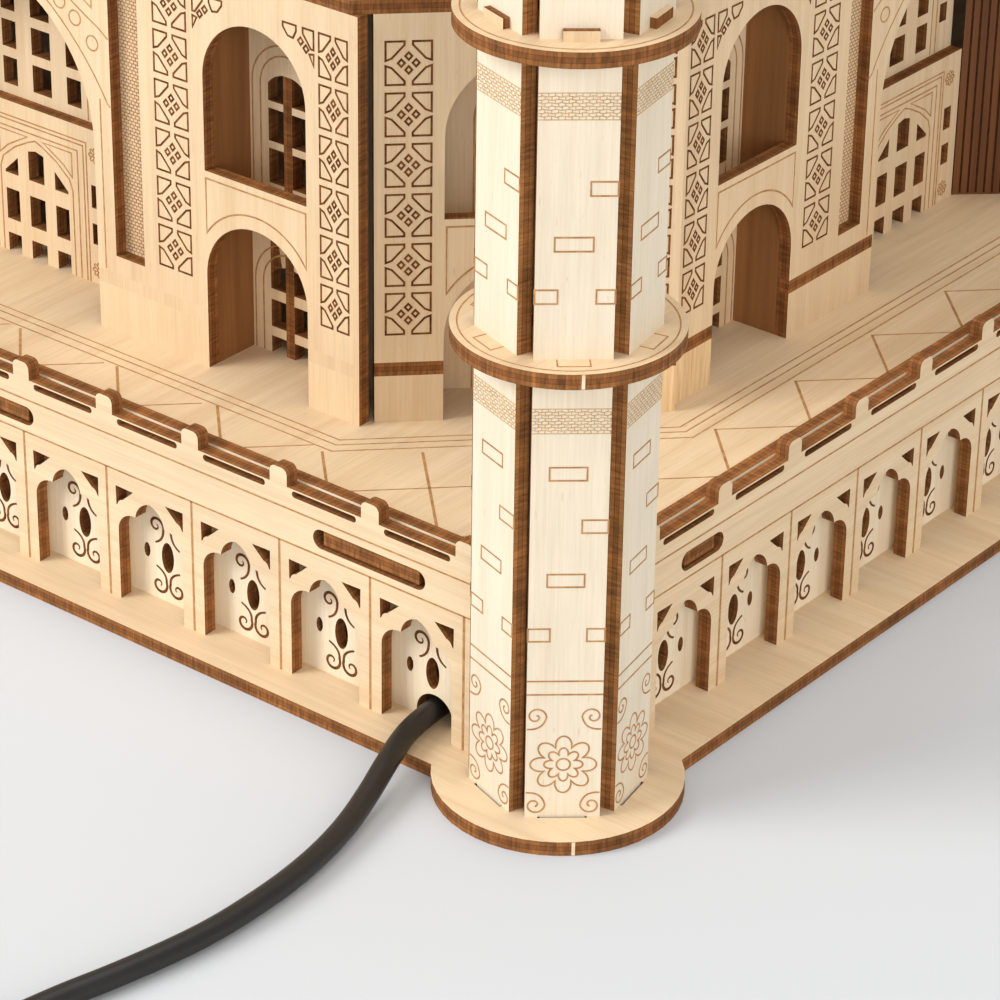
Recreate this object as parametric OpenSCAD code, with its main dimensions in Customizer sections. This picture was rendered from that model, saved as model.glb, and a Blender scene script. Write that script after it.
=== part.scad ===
// Miniature domed mausoleum: an arcaded podium, four corner minarets and a domed
// hall, slotted together from flat laser-cut plywood and lit through a USB lead.
// Millimetres, +Z up. The origin is the centre of the base plate's underside.
// The front faces -Y, and the power lead leaves through the front arcade.

/* [Sheet] */
// Thickness of every plywood sheet
ply = 2; // [1.8:0.1:2.2]
// Pitch of the arcade's bays, the module that sets the whole plan
bay = 15.5; // [15.2:0.1:16]

/* [Podium] */
// Number of bays between the outermost pier lines of each arcade
bays = 14; // [14]
// Height of the deck's top over the base plate, in bays
deck_rise = 1.5; // [1.45:0.01:1.55]
// Height of the rail over the base plate, in bays
rail_rise = 1.8; // [1.75:0.01:1.9]

/* [Minarets] */
// Distance from a minaret's axis to the face of each of its six panels, in bays
shaft_apothem = 0.665; // [0.655:0.005:0.67]
// Radius of the balcony rings, in bays
balcony_r = 0.92; // [0.88:0.01:0.96]
// Radius of the round foot under each minaret, in bays
foot_r = 1.04; // [1:0.01:1.1]

/* [Hall] */
// Half the width of the great portal's opening, in bays
portal_half = 1.37; // [1.3:0.01:1.4]
// Height of the great portals' parapet over the base plate, in bays
portal_top = 7.2; // [7:0.05:7.4]
// Number of ribs in the main dome
dome_rib_count = 16; // [12:2:16]

/* [Lead] */
// Diameter of the power lead
lead_d = 3; // [2.8:0.1:3.2]
// Radius of the coil at the middle of its turns
coil_r = 18; // [17:0.5:18]

/* [Hidden] */
$fn = 48;
eps = 0.01;

// Heights, from the table up
plate_z = ply;
deck_z = plate_z + deck_rise * bay;
rail_z = plate_z + rail_rise * bay;
plinth_z = plate_z + 1.95 * bay;
wall_z = plinth_z + ply;
roof_z = plate_z + 5.3 * bay;
roof_top = roof_z + ply;
door_z = plate_z + 3.05 * bay;
parapet_z = plate_z + 6 * bay;
portal_z = plate_z + portal_top * bay;

// Plan of the podium: outer faces of the arcade walls
wall_x = 8 * bay;
wall_y = 8.175 * bay;
screen_set = 0.212 * bay;
base_x = 8.47 * bay;
base_y = 8.505 * bay;
tower_x = 7.8 * bay;
tower_y = 7.925 * bay;
shaft_a = shaft_apothem * bay;
fit_gap = 0.1;
// The shafts' panels are turned this far past the podium's diagonal
shaft_turn = 4;
// From a shaft's axis to the end of a sheet whose inner face is off inside that axis, where
// the panel that it meets leans by that angle
function shaft_reach(off, lean) = (shaft_a + off * sin(lean)) / cos(lean) + fit_gap;
// Half the length of a sheet along side k that stands set behind the arcade's outer face
function side_half(k, set = 0) = k % 2 == 0
    ? tower_x - shaft_reach(tower_y - wall_y + set + ply, 15 - shaft_turn)
    : tower_y - shaft_reach(tower_x - wall_x + set + ply, 15 + shaft_turn);
function side_d(k, set = 0) = (k % 2 == 0 ? wall_y : wall_x) - set;
// The rail's second sheet stands close behind the wall, on the deck
rail_set = ply + 0.5;
tab_recess = 0.5;

// Arcade bay
arch_half = 0.377 * bay;
arch_spring = 0.69 * bay;
lobe_r = 0.188 * bay;
crown_r = 0.215 * bay;
crown_z = 0.85 * bay;
merlon_w = 0.19 * bay;
merlon_h = 0.16 * bay;
merlon_r = 0.06 * bay;
rail_slot_l = 0.7 * bay;
rail_slot_h = 0.06 * bay;
deck_slot_h = 0.18 * bay;
tab_w = 4;
pier_tab = 1;
exit_r = 3;

// Minaret
panel_w = 0.605 * bay;
shaft_tab = 0.36 * bay;
slot_gap = 0.3;
// Ends of the tabs that come through the third storey's panels
key_out = 0.9;
key_h = 1.3;
key_w = 0.27 * bay;
ring1_z = plate_z + 3.97 * bay;
ring2_z = plate_z + 6.55 * bay;
ring3_z = plate_z + 9.13 * bay;
lantern_z = ring3_z + ply;
lantern_h = 0.8 * bay;
cap_z = lantern_z + lantern_h + ply;
cap_r = 0.62 * bay;
cap_h = 1 * bay;
spire_r = 0.05 * bay;

// Hall: outer faces of the four facades and of the four chamfers
hall_x = 6.31 * bay;
hall_y = 6.535 * bay;
hall_half_lr = 4.44 * bay;
hall_half_fb = 4.475 * bay;
hall_diag = 7.722 * bay;
chamfer_half = 1.32 * bay;
back_set = 0.6 * bay;
pier_a = 2.71 * bay;
pier_b = 3.89 * bay;
niche_r = 0.59 * bay;
niche_x = 3.3 * bay;
niche_window_x = 3.15 * bay;
chamfer_niche_r = 0.72 * bay;
lower_arch_top = plate_z + 3.01 * bay;
sill_z = plate_z + 3.42 * bay;
upper_arch_top = plate_z + 4.895 * bay;
slot_x = [1.597 * bay, 1.95 * bay];
slot_z = [plate_z + 2.26 * bay, plate_z + 5 * bay];
portal_block = 2.08 * bay;
portal_depth = 1.75 * bay;
portal_spring = plate_z + 3.3 * bay;
parapet_at = 3.385 * bay;
parapet_half = 0.98 * bay;
parapet_half_c = 1.2 * bay;
petal_w = 0.28 * bay;
pinnacle_in = 0.13 * bay;
haunch_r = 1.423 * bay;
crown_arc_r = 2.1 * bay;

// Drum, domes and kiosks
drum_a = 2.45 * bay;
drum_ring_r = 2.75 * bay;
drum_z = roof_top + 2.15 * bay;
dome_z = drum_z + ply;
dome_r = 2.98 * bay;
dome_h = 4.65 * bay;
rib_in = 0.5 * bay;
rib_foot = 0.28 * dome_r;
light_r = 0.8 * bay;
kiosk_at = 3.6 * bay;
kiosk_r = 1 * bay;
kiosk_h = 1.45 * bay;
kiosk_dome_r = 0.74 * bay;
kiosk_dome_h = 1.35 * bay;
hub_r = 2.3;
rib_count_small = 6;
finial_r = 0.12 * bay;
finial_h = 2.9 * bay;

// Lead: points along its run before the coil, then on to the switch and to the plug
lead_r = lead_d / 2;
coil_at = [80, -230];
coil_rows = 5;
lead_route = [
    [100.8, -114, 3.6], [100.8, -119, 3.6], [101.1, -124.5, 3.6], [102.2, -130.5, 3.7],
    [104.2, -136.5, 3.3], [106.2, -142.5, 2.4], [108, -148.5, 1.8], [109.5, -155, 1.6],
    [110.5, -162, 1.6], [110.8, -169, 1.6], [110.6, -176, 1.6], [109.6, -183, 1.6],
    [108, -190.5, 1.6], [106.2, -197.5, 1.6], [104.8, -205, 1.6], [104.1, -213, 1.6],
    [104, -221.5, 1.6]];
switch_route = [[80, -254, 4.6], [74, -254, 4.2], [68, -254, 4.2], [62, -254, 4.7], [56, -254, 5]];
plug_route = [[18, -254, 5], [12, -254, 4.8], [6, -254, 4.6], [0, -254, 4.6], [-6, -254, 4.6]];
switch_x = [18, 56];
switch_y = -254;
switch_w = 13;
switch_h = 10;
// The rocker's pivot, its pin, the well it sits in and its half length
pivot_x = 37;
pivot_z = 8.4;
pin_r = 0.9;
pin_l = 9.6;
rocker_w = 7.2;
rocker_tilt = 8;
rocker_side = [[-5.6, -0.6], [-1.4, -1.3], [1.4, -1.3], [5.6, -0.6], [6.4, 2.6], [0, 2], [-6.4, 2.6]];
well = [14, 8, 5];
well_z = 6.6;
// Plug: a tapered neck, a grip and a flat metal shell
plug_x = -6;
plug_z = 4.6;
neck_l = 10;
neck_r = [2.4, 3.2];
grip = [8, 15.6, 22];
shell = [4.5, 12, 14];
shell_bore = [2.2, 11.3];
shell_bore_z = -0.75;
// Light: the board, its lamps, the wires to it and the clamp on the lead
board = [34, 24];
board_t = 1.6;
wire_hole_r = 4;
lamp_r = 2.5;
lamp_h = 3.4;
wire_r = 0.9;
clamp = [10, 9, 6];

function lerp(a, b, t) = a + (b - a) * t;
function bez(a, b, c, d, t) =
    lerp(lerp(lerp(a, b, t), lerp(b, c, t), t), lerp(lerp(b, c, t), lerp(c, d, t), t), t);

// Outline of an onion dome of radius r and height h, from its foot to its tip,
// stepped n times along each of its two curves
function onion(r, h, n = 14) = concat(
    [for (i = [0:n]) bez([0.81 * r, 0], [0.93 * r, 0.08 * h], [r, 0.16 * h], [r, 0.27 * h], i / n)],
    [for (i = [1:n]) bez([r, 0.27 * h], [r, 0.56 * h], [0.3 * r, 0.7 * h], [0.05 * r, h], i / n)]);
// Radius of that outline at height z
function onion_r(r, h, z) = let (p = onion(r, h), k = [for (q = p) if (q[1] < z) q]) k[len(k) - 1][0];

// Colours of the light face stock, the darker inner stock and the black fittings
module face_stock() color([0.90, 0.76, 0.55]) children();
module pale_stock() color([0.93, 0.85, 0.70]) children();
module edge_stock() color([0.55, 0.32, 0.15]) children();
module black_plastic() color([0.06, 0.06, 0.06]) children();

// A sheet lying flat with its underside at z
module level(z) translate([0, 0, z]) linear_extrude(ply) children();
// A sheet standing on side k (0 front, 1 right, 2 back, 3 left), drawn as (along, up),
// with its outer face d from the centre
module upright(k, d) rotate([0, 0, 90 * k]) translate([0, ply - d, 0])
    rotate([90, 0, 0]) linear_extrude(ply) children();
// The same on a chamfer, k = 0 being the front right one
module upright_chamfer(k, d) rotate([0, 0, 45 + 90 * k]) translate([0, ply - d, 0])
    rotate([90, 0, 0]) linear_extrude(ply) children();
// Outer-face distance of side k for a wall set in by a given depth, and half its facade's width
function hall_d(k, set = 0) = (k % 2 == 0 ? hall_y : hall_x) - set;
function hall_half(k) = k % 2 == 0 ? hall_half_fb : hall_half_lr;
module both() for (s = [0, 1]) mirror([s, 0]) children();
module span(x0, x1, z0, z1) translate([x0, z0]) square([x1 - x0, z1 - z0]);
// A bar with round ends, centred
module round_bar(l, h) {
    square([l - h, h], center = true);
    both() translate([(l - h) / 2, 0]) circle(h / 2);
}
// A round-headed opening from z0 up to its crown at z1
module round_arch(half, z0, z1) {
    span(-half, half, z0, z1 - half);
    translate([0, z1 - half]) circle(half);
}

// ---- podium ----
module cusped_arch() {
    span(-arch_half, arch_half, -ply, arch_spring);
    both() translate([arch_half - lobe_r, arch_spring]) circle(lobe_r);
    intersection() {
        translate([crown_r * 0.2, crown_z]) circle(crown_r);
        translate([-crown_r * 0.2, crown_z]) circle(crown_r);
    }
}
module spandrel() difference() {
    polygon([[-0.395, 1.12], [-0.188, 1.115], [-0.392, 0.93]] * bay);
    translate([-0.19, 1.01] * bay) circle(0.075 * bay);
    translate([-0.31, 0.93] * bay) circle(0.068 * bay);
}
module merlon() {
    span(-merlon_w / 2, merlon_w / 2, -eps, merlon_h - merlon_r);
    span(merlon_r - merlon_w / 2, merlon_w / 2 - merlon_r, 0, merlon_h);
    both() translate([merlon_w / 2 - merlon_r, merlon_h - merlon_r]) circle(merlon_r);
}
// Where the deck's tabs come through a wall: [centre, length]
function deck_tabs(k) = k % 2 == 0
    ? [for (s = [-1, 1], c = [1.525, 5.985]) [s * c * bay, 1.21 * bay]]
    : [for (c = [-6.29, 0, 6.29]) [c * bay, 0.585 * bay]];
// A wall's outline: a sheet up to the rail, topped by a merlon over every pier
module rail_sheet(half) {
    span(-half, half, plate_z, rail_z);
    for (i = [-bays / 2:bays / 2]) translate([i * bay, rail_z]) merlon();
}
module arcade_wall(k) face_stock() upright(k, side_d(k)) {
    difference() {
        rail_sheet(side_half(k));
        for (i = [0:bays - 1]) translate([(i - (bays - 1) / 2) * bay, plate_z]) {
            cusped_arch();
            both() spandrel();
            translate([0, 1.755 * bay]) round_bar(rail_slot_l, rail_slot_h);
        }
        for (c = deck_tabs(k)) translate([c[0], deck_z - ply / 2]) round_bar(c[1], deck_slot_h);
    }
    for (i = [-bays / 2 + 1:2:bays / 2 - 1])
        span(i * bay - pier_tab / 2, i * bay + pier_tab / 2, 0, plate_z + eps);
}
function oval(rx, ry, n = 20) = [for (i = [0:n - 1]) [rx * cos(i * 360 / n), ry * sin(i * 360 / n)]];
// The pierced screen under the deck, and above the deck the rail's second sheet
module arcade_screen(k) pale_stock() {
    upright(k, side_d(k, screen_set)) difference() {
        span(-side_half(k, screen_set), side_half(k, screen_set), plate_z, deck_z - ply);
        for (i = [0:bays - 1]) translate([(i - (bays - 1) / 2) * bay, plate_z + 0.447 * bay]) {
            polygon(oval(0.072 * bay, 0.15 * bay));
            both() translate([0.245 * bay, 0]) polygon(oval(0.036 * bay, 0.072 * bay, 12));
        }
        if (k == 0) translate([lead_route[2][0], 0]) round_arch(exit_r, 0, plate_z + 0.8 + exit_r);
    }
    upright(k, side_d(k, rail_set))
        span(-side_half(k, rail_set), side_half(k, rail_set), deck_z, rail_z);
}
module shaft_hex(a) rotate(-15 - shaft_turn) circle(a / cos(30), $fn = 6);
module at_towers() for (x = [0, 1], y = [0, 1]) mirror([x, 0]) mirror([0, y])
    translate([tower_x, -tower_y]) children();
// Slots that the six tabs of a shaft pass through
module shaft_slots() for (i = [0:5]) rotate(60 * i - 45 - shaft_turn)
    translate([shaft_a - ply / 2, 0])
        square([ply + 2 * slot_gap, shaft_tab + 2 * slot_gap], center = true);
module base_plate() face_stock() level(0) difference() {
    union() {
        square([2 * base_x, 2 * base_y], center = true);
        at_towers() circle(foot_r * bay, $fn = 96);
    }
    at_towers() shaft_slots();
    for (k = [0:3]) rotate(90 * k) translate([0, ply / 2 - side_d(k)])
        for (i = [-bays / 2 + 1:2:bays / 2 - 1]) translate([i * bay, 0])
            square([pier_tab, ply], center = true);
}
// Slots in the deck for the tabs under the plinth panels
module foot_tab(x0, x1) translate([(x0 + x1) / 2 - tab_w / 2, 0]) square([tab_w, ply]);
module deck_plate() face_stock() level(deck_z - ply) difference() {
    union() {
        square(2 * [side_d(1, rail_set), side_d(0, rail_set)], center = true);
        for (k = [0:3], c = deck_tabs(k)) rotate(90 * k)
            translate([c[0] - (c[1] - deck_slot_h) / 2, tab_recess - side_d(k)])
                square([c[1] - deck_slot_h, rail_set]);
    }
    at_towers() shaft_hex(shaft_a + fit_gap);
    for (k = [0:3]) rotate(90 * k) translate([0, -hall_d(k)]) both() {
        foot_tab(portal_half * bay, pier_a);
        foot_tab(pier_b, hall_half(k));
    }
    for (k = [0:3]) rotate(45 + 90 * k) translate([0, -hall_diag]) both()
        foot_tab(chamfer_niche_r, chamfer_half);
    circle(wire_hole_r);
}
module deck_supports() face_stock() for (k = [0:3], x = [-3, 3])
    upright(k, 4.6 * bay) translate([x * bay, 0]) span(-bay / 2, bay / 2, plate_z, deck_z - ply);

// ---- minarets ----
module at_tower(c) mirror([c == 2 || c == 3 ? 1 : 0, 0, 0]) mirror([0, c == 1 || c == 2 ? 1 : 0, 0])
    translate([tower_x, -tower_y, 0]) children();
// Six sheets round a shaft, drawn as (across, up)
module shaft_ring() for (i = [0:5]) rotate([0, 0, 60 * i - 45 - shaft_turn])
    translate([shaft_a - ply, 0, 0]) rotate([90, 0, 90]) linear_extrude(ply) children();
module lower_panels(c) pale_stock() at_tower(c) shaft_ring() {
    span(-panel_w / 2, panel_w / 2, plate_z, ring1_z);
    span(-shaft_tab / 2, shaft_tab / 2, 0, plate_z + eps);
}
module upper_panels(c) pale_stock() at_tower(c) shaft_ring() {
    span(-panel_w / 2, panel_w / 2, ring1_z + ply, ring2_z);
    span(-panel_w / 2, panel_w / 2, ring2_z + ply, ring3_z);
}
// Three balcony rings, and the ends of the tabs that stand proud of the panels over the second
module balconies(c) face_stock() at_tower(c) {
    for (z = [ring1_z, ring2_z, ring3_z]) level(z) difference() {
        circle(balcony_r * bay, $fn = 96);
        circle(0.3 * bay);
    }
    for (i = [0:5]) rotate([0, 0, 60 * i - 45 - shaft_turn])
        translate([shaft_a + key_out / 2, 0, ring2_z + ply])
            linear_extrude(key_h) square([key_out, key_w], center = true);
}
// An onion dome of flat ribs set round a dowel, standing on z
module ribbed_cap(z, r, h, spire) {
    outline = onion(r, h);
    for (i = [0:rib_count_small - 1]) rotate([0, 0, 360 / rib_count_small * i]) translate([0, ply / 2, z])
        rotate([90, 0, 0]) linear_extrude(ply) intersection() {
            polygon(concat([[hub_r, 0]], outline, [[hub_r, h]]));
            span(hub_r, 2 * r, 0, h);
        }
    translate([0, 0, z]) rotate_extrude() polygon(concat(
        [[0, 0], [hub_r - eps, 0], [hub_r - eps, h * 0.78]],
        [[spire_r, h * 0.95], [spire_r, h + spire * 0.3]],
        [for (a = [-60:20:60]) [spire_r + 0.05 * bay * cos(a), h + spire * 0.4 + 0.06 * bay * sin(a)]],
        [[spire_r, h + spire * 0.5], [0, h + spire]]));
}
module lantern(c) face_stock() at_tower(c) {
    for (i = [0:5]) rotate([0, 0, 60 * i - 15 - shaft_turn]) translate([0.5 * bay, 0, lantern_z])
        linear_extrude(lantern_h) square(ply, center = true);
    level(cap_z - ply) circle(0.78 * bay, $fn = 64);
    ribbed_cap(cap_z, cap_r, cap_h, 0.55 * bay);
}

// ---- hall ----
// Four-centred head of the great portal: a haunch of one radius, then a flatter crown
module portal_arch() {
    half = portal_half * bay;
    knee = haunch_r / sqrt(2);
    crown = crown_arc_r / sqrt(2);
    span(-half, half, 0, portal_spring);
    both() translate([0, portal_spring]) intersection() {
        translate([half - haunch_r, 0]) circle(haunch_r, $fn = 96);
        translate([half - haunch_r + knee - crown, knee - crown]) circle(crown_arc_r, $fn = 96);
        square([half, 2 * bay]);
    }
}
module niche_pair(half) {
    round_arch(half, 0, lower_arch_top);
    round_arch(half, sill_z, upper_arch_top);
}
module facade(k) face_stock() upright(k, hall_d(k)) difference() {
    union() {
        span(-hall_half(k), hall_half(k), wall_z, roof_z);
        span(-portal_block, portal_block, wall_z, portal_z);
    }
    portal_arch();
    both() {
        translate([niche_x, 0]) niche_pair(niche_r);
        span(slot_x[0], slot_x[1], slot_z[0], slot_z[1]);
    }
}
module chamfer_walls() face_stock() for (k = [0:3]) upright_chamfer(k, hall_diag) difference() {
    span(-chamfer_half, chamfer_half, wall_z, roof_z);
    niche_pair(chamfer_niche_r);
}
module foot_panel(x0, x1) {
    span(x0, x1, deck_z, plinth_z);
    translate([(x0 + x1) / 2 - tab_w / 2, deck_z - ply]) square([tab_w, ply + eps]);
}
module plinth_panels() face_stock() {
    for (k = [0:3]) upright(k, hall_d(k)) both() {
        foot_panel(portal_half * bay, pier_a);
        foot_panel(pier_b, hall_half(k));
    }
    for (k = [0:3]) upright_chamfer(k, hall_diag) both() foot_panel(chamfer_niche_r, chamfer_half);
}
module lower_band_strips() edge_stock() level(plinth_z) {
    for (k = [0:3]) rotate(90 * k) translate([0, -hall_d(k)]) both() {
        span(portal_half * bay, pier_a, 0, ply);
        span(pier_b, hall_half(k), 0, ply);
    }
    for (k = [0:3]) rotate(45 + 90 * k) translate([0, -hall_diag]) both()
        span(chamfer_niche_r, chamfer_half, 0, ply);
}
// A niche's two windows: two columns of panes in three rows, the top row under a round head.
// Each window is the height of its head's centre and the rows below it, as [z, height] in bays
niche_panes = [
    [0.6, [[-eps, 0.175], [0.26, 0.27], [0.635, 0.4]]],
    [2.44, [[1.67, 0.33], [2.07, 0.31], [2.45, 0.4]]]];
module niche_windows() for (window = niche_panes) translate([0, deck_z]) intersection() {
    for (x = [-0.225, 0.05], row = window[1]) translate([x, row[0]] * bay) square([0.175, row[1]] * bay);
    union() {
        span(-0.3 * bay, 0.3 * bay, -bay, window[0] * bay);
        translate([0, window[0] * bay]) circle(0.285 * bay);
    }
}
// A niche's two sides, from the facade's back to the window wall, as a plan
module niche_cheeks(x0, x1) {
    span(x0 - ply, x0, ply, back_set);
    span(x1, x1 + ply, ply, back_set);
}
module niche_window_walls() face_stock() {
    for (k = [0:3]) upright(k, hall_d(k, back_set)) both() difference() {
        span(2.08 * bay, 4.12 * bay, deck_z, roof_z);
        translate([niche_window_x, 0]) niche_windows();
    }
    for (k = [0:3]) upright_chamfer(k, hall_diag - back_set) difference() {
        span(-0.95 * bay, 0.95 * bay, deck_z, roof_z);
        niche_windows();
    }
    translate([0, 0, deck_z]) linear_extrude(roof_z - deck_z) {
        for (k = [0:3]) rotate(90 * k) translate([0, -hall_d(k)]) both() niche_cheeks(pier_a, pier_b);
        for (k = [0:3]) rotate(45 + 90 * k) translate([0, -hall_diag])
            niche_cheeks(-chamfer_niche_r, chamfer_niche_r);
    }
}
// Region under a pointed head that springs at head_z
module head_cut(head_z, head_r) {
    span(-0.6 * bay, 0.6 * bay, 0, head_z);
    intersection() {
        translate([head_r - 0.56 * bay, head_z]) circle(head_r);
        translate([0.56 * bay - head_r, head_z]) circle(head_r);
    }
}
// Three columns of panes, each row given as [z, height]
module panes(columns, rows) for (x = columns, row = rows)
    translate([x[0] * bay, row[0]]) square([x[1] * bay, row[1]]);
// One side's panes beside a portal's door or window, each given as [z, height] in bays over the deck
module side_panes(rows) both() for (row = rows)
    translate([0.71, row[0]] * bay + [0, deck_z]) square([0.12, row[1]] * bay);
door_columns = [[-0.41, 0.17], [-0.1, 0.2], [0.24, 0.17]];
door_head = [[-0.45, 0.81], [-0.41, 0.835], [-0.245, 0.99], [-0.1, 1.1], [0, 1.125],
    [0.1, 1.1], [0.245, 0.99], [0.41, 0.835], [0.45, 0.81], [0.45, -0.1], [-0.45, -0.1]];
door_rows = [[-eps, 0.19 * bay], [0.335 * bay, 0.315 * bay], [0.81 * bay, 0.4 * bay]];
module portal_door_panels() face_stock() for (k = [0:3]) upright(k, hall_d(k, back_set)) difference() {
    span(-0.95 * bay, 0.95 * bay, deck_z, door_z);
    translate([0, deck_z]) intersection() {
        panes(door_columns, door_rows);
        polygon(door_head * bay);
    }
    side_panes([[0.4, 0.21], [0.767, 0.23]]);
}
window_columns = [[-0.5, 0.18], [-0.12, 0.24], [0.32, 0.18]];
window_rows = [for (i = [0:3]) [door_z + (0.1 + 0.37 * i) * bay, (i == 3 ? 0.5 : 0.27) * bay]];
module portal_window_walls() face_stock() for (k = [0:3])
    upright(k, hall_d(k, back_set + ply)) difference() {
        span(-0.95 * bay, 0.95 * bay, deck_z, roof_z);
        span(-0.5 * bay, 0.5 * bay, deck_z, door_z - 0.3 * bay);
        intersection() {
            panes(window_columns, window_rows);
            head_cut(door_z + 1.0 * bay, 0.85 * bay);
        }
        side_panes([[1.85, 0.19], [2.25, 0.19], [2.85, 0.19]]);
    }
module portal_reveals() edge_stock() for (k = [0:3]) rotate([0, 0, 90 * k])
    translate([0, -hall_d(k), deck_z]) linear_extrude(roof_z - deck_z) both()
        polygon([[1.4, 0.135], [1.53, 0.135], [1.1, 0.6], [0.97, 0.6]] * bay);
module slot_backings() face_stock() for (k = [0:3]) upright(k, hall_d(k, ply)) both()
    span(1.56 * bay, 2 * bay, wall_z, roof_z - 0.1 * bay);
module hall_outline(set = 0) intersection() {
    square(2 * [hall_x - set, hall_y - set], center = true);
    rotate(45) square(2 * (hall_diag - set), center = true);
}
module roof_plate() face_stock() level(roof_z) difference() {
    hall_outline();
    for (k = [0:3]) rotate(90 * k) translate([-portal_block, -hall_d(k) - eps])
        square([2 * portal_block, ply + eps]);
    circle(light_r);
}
// A sheet along the eaves, its top edge scalloped into petals of pitch w
module petal_row(half, w) {
    n = round(2 * half / w);
    span(-half, half, roof_top, parapet_z - w / 2);
    for (i = [0:n - 1]) translate([-half + (i + 0.5) * 2 * half / n, parapet_z - w / 2]) circle(half / n);
}
module parapet_panels() face_stock() {
    for (k = [0:3], s = [-1, 1]) upright(k, hall_d(k)) translate([s * parapet_at, 0])
        petal_row(parapet_half, petal_w);
    for (k = [0:3]) upright_chamfer(k, hall_diag) petal_row(parapet_half_c, petal_w);
}
module portal_top_boxes() face_stock() for (k = [0:3]) rotate([0, 0, 90 * k])
    translate([0, -hall_d(k), 0]) {
        translate([0, 0, roof_top]) linear_extrude(portal_z - 2 * ply - roof_top - fit_gap) {
            both() span(portal_block - ply, portal_block, ply, portal_depth);
            span(fit_gap + ply - portal_block, portal_block - ply - fit_gap,
                portal_depth - ply, portal_depth);
        }
        level(portal_z - 2 * ply) span(-portal_block, portal_block, ply, portal_depth);
    }
module roof_pinnacles() face_stock() for (k = [0:3], s = [-1, 1]) rotate([0, 0, 90 * k])
    translate([s * (portal_block + pinnacle_in), pinnacle_in - hall_d(k), roof_top])
    rotate_extrude($fn = 24) {
        h = portal_z - roof_top + 0.3 * bay;
        r = 0.11 * bay;
        polygon(concat([[0, 0], [r, 0], [r, h - r], [0.6 * r, h], [0.6 * r, h + 0.2 * bay]],
            [for (a = [-50:20:70]) [1.1 * r * cos(a), h + 0.3 * bay + 1.1 * r * sin(a)]],
            [[0.2 * r, h + 0.5 * bay], [0, h + 0.8 * bay]]));
    }

// ---- drum and main dome ----
module drum_panels() face_stock() for (i = [0:dome_rib_count - 1])
    rotate([0, 0, 360 / dome_rib_count * (i + 0.5)]) translate([drum_a - ply, 0, 0])
    rotate([90, 0, 90]) linear_extrude(ply) difference() {
        w = 2 * (drum_a - ply) * tan(180 / dome_rib_count) - fit_gap;
        span(-w / 2, w / 2, roof_top + ply, drum_z);
        round_arch(0.2 * bay, roof_top + 0.75 * bay, roof_top + 1.65 * bay);
    }
module drum_rings() face_stock() {
    level(roof_top) difference() {
        circle(drum_ring_r, $fn = 128);
        circle(light_r);
    }
    level(drum_z) difference() {
        circle(drum_ring_r, $fn = 128);
        circle(light_r);
    }
}
module rib_profile() {
    outer = onion(dome_r, dome_h);
    inner = [for (p = outer) if (p[1] < 0.8 * dome_h) [p[0] - rib_in * (1 + 0.4 * p[1] / dome_h), p[1]]];
    n = len(inner);
    back = [for (i = [n - 1:-1:0]) if (inner[i][0] > finial_r) inner[i]];
    polygon(concat(outer, [[finial_r, dome_h], [finial_r, inner[n - 1][1]]], back));
}
module dome_ribs() face_stock() for (i = [0:dome_rib_count - 1]) rotate([0, 0, 360 / dome_rib_count * i])
    translate([0, ply / 2, dome_z]) rotate([90, 0, 0]) linear_extrude(ply) intersection() {
        rib_profile();
        span(rib_foot, dome_r + 1, 0, dome_h);
    }
// Discs that hold the ribs, each notched at its rim to take them
module dome_rings() face_stock() for (f = [0.03, 0.27, 0.5, 0.66]) {
    r = onion_r(dome_r, dome_h, f * dome_h) - 0.12 * bay;
    level(dome_z + f * dome_h) difference() {
        circle(r, $fn = 96);
        circle(f < 0.6 ? light_r : finial_r);
        for (i = [0:dome_rib_count - 1]) rotate(360 / dome_rib_count * i)
            translate([max(r - bay, rib_foot - fit_gap), -ply / 2]) square([dome_r, ply]);
    }
}
module dome_finial() face_stock() translate([0, 0, dome_z + 0.66 * dome_h]) {
    h = dome_h * 0.34 + finial_h;
    r = finial_r;
    rotate_extrude() polygon(concat([[0, 0], [r, 0]],
        [[r, h * 0.3], [dome_r * 0.2, h * 0.34], [dome_r * 0.2, h * 0.36], [r * 1.2, h * 0.44]],
        [for (a = [-70:20:70]) [r * 0.6 + 0.16 * bay * cos(a), h * 0.53 + 0.2 * bay * sin(a)]],
        [[r * 0.5, h * 0.6]],
        [for (a = [-70:20:70]) [r * 0.4 + 0.1 * bay * cos(a), h * 0.68 + 0.13 * bay * sin(a)]],
        [[r * 0.4, h * 0.74], [r * 0.35, h * 0.9], [0, h]]));
}

// ---- kiosks on the roof ----
module at_kiosks() for (i = [0:3]) rotate([0, 0, 90 * i]) translate([kiosk_at, kiosk_at, 0]) children();
module kiosk_plates() face_stock() at_kiosks() {
    level(roof_top) rotate(22.5) circle(kiosk_r, $fn = 8);
    level(roof_top + ply + kiosk_h) rotate(22.5) circle(kiosk_r * 1.05, $fn = 8);
}
module kiosk_columns() face_stock() at_kiosks() for (i = [0:7]) rotate([0, 0, 45 * i + 22.5])
    translate([kiosk_r * 0.76, 0, roof_top + ply]) linear_extrude(kiosk_h) square(ply, center = true);
module kiosk_domes() face_stock() at_kiosks()
    ribbed_cap(roof_top + 2 * ply + kiosk_h, kiosk_dome_r, kiosk_dome_h, 0.75 * bay);

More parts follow.
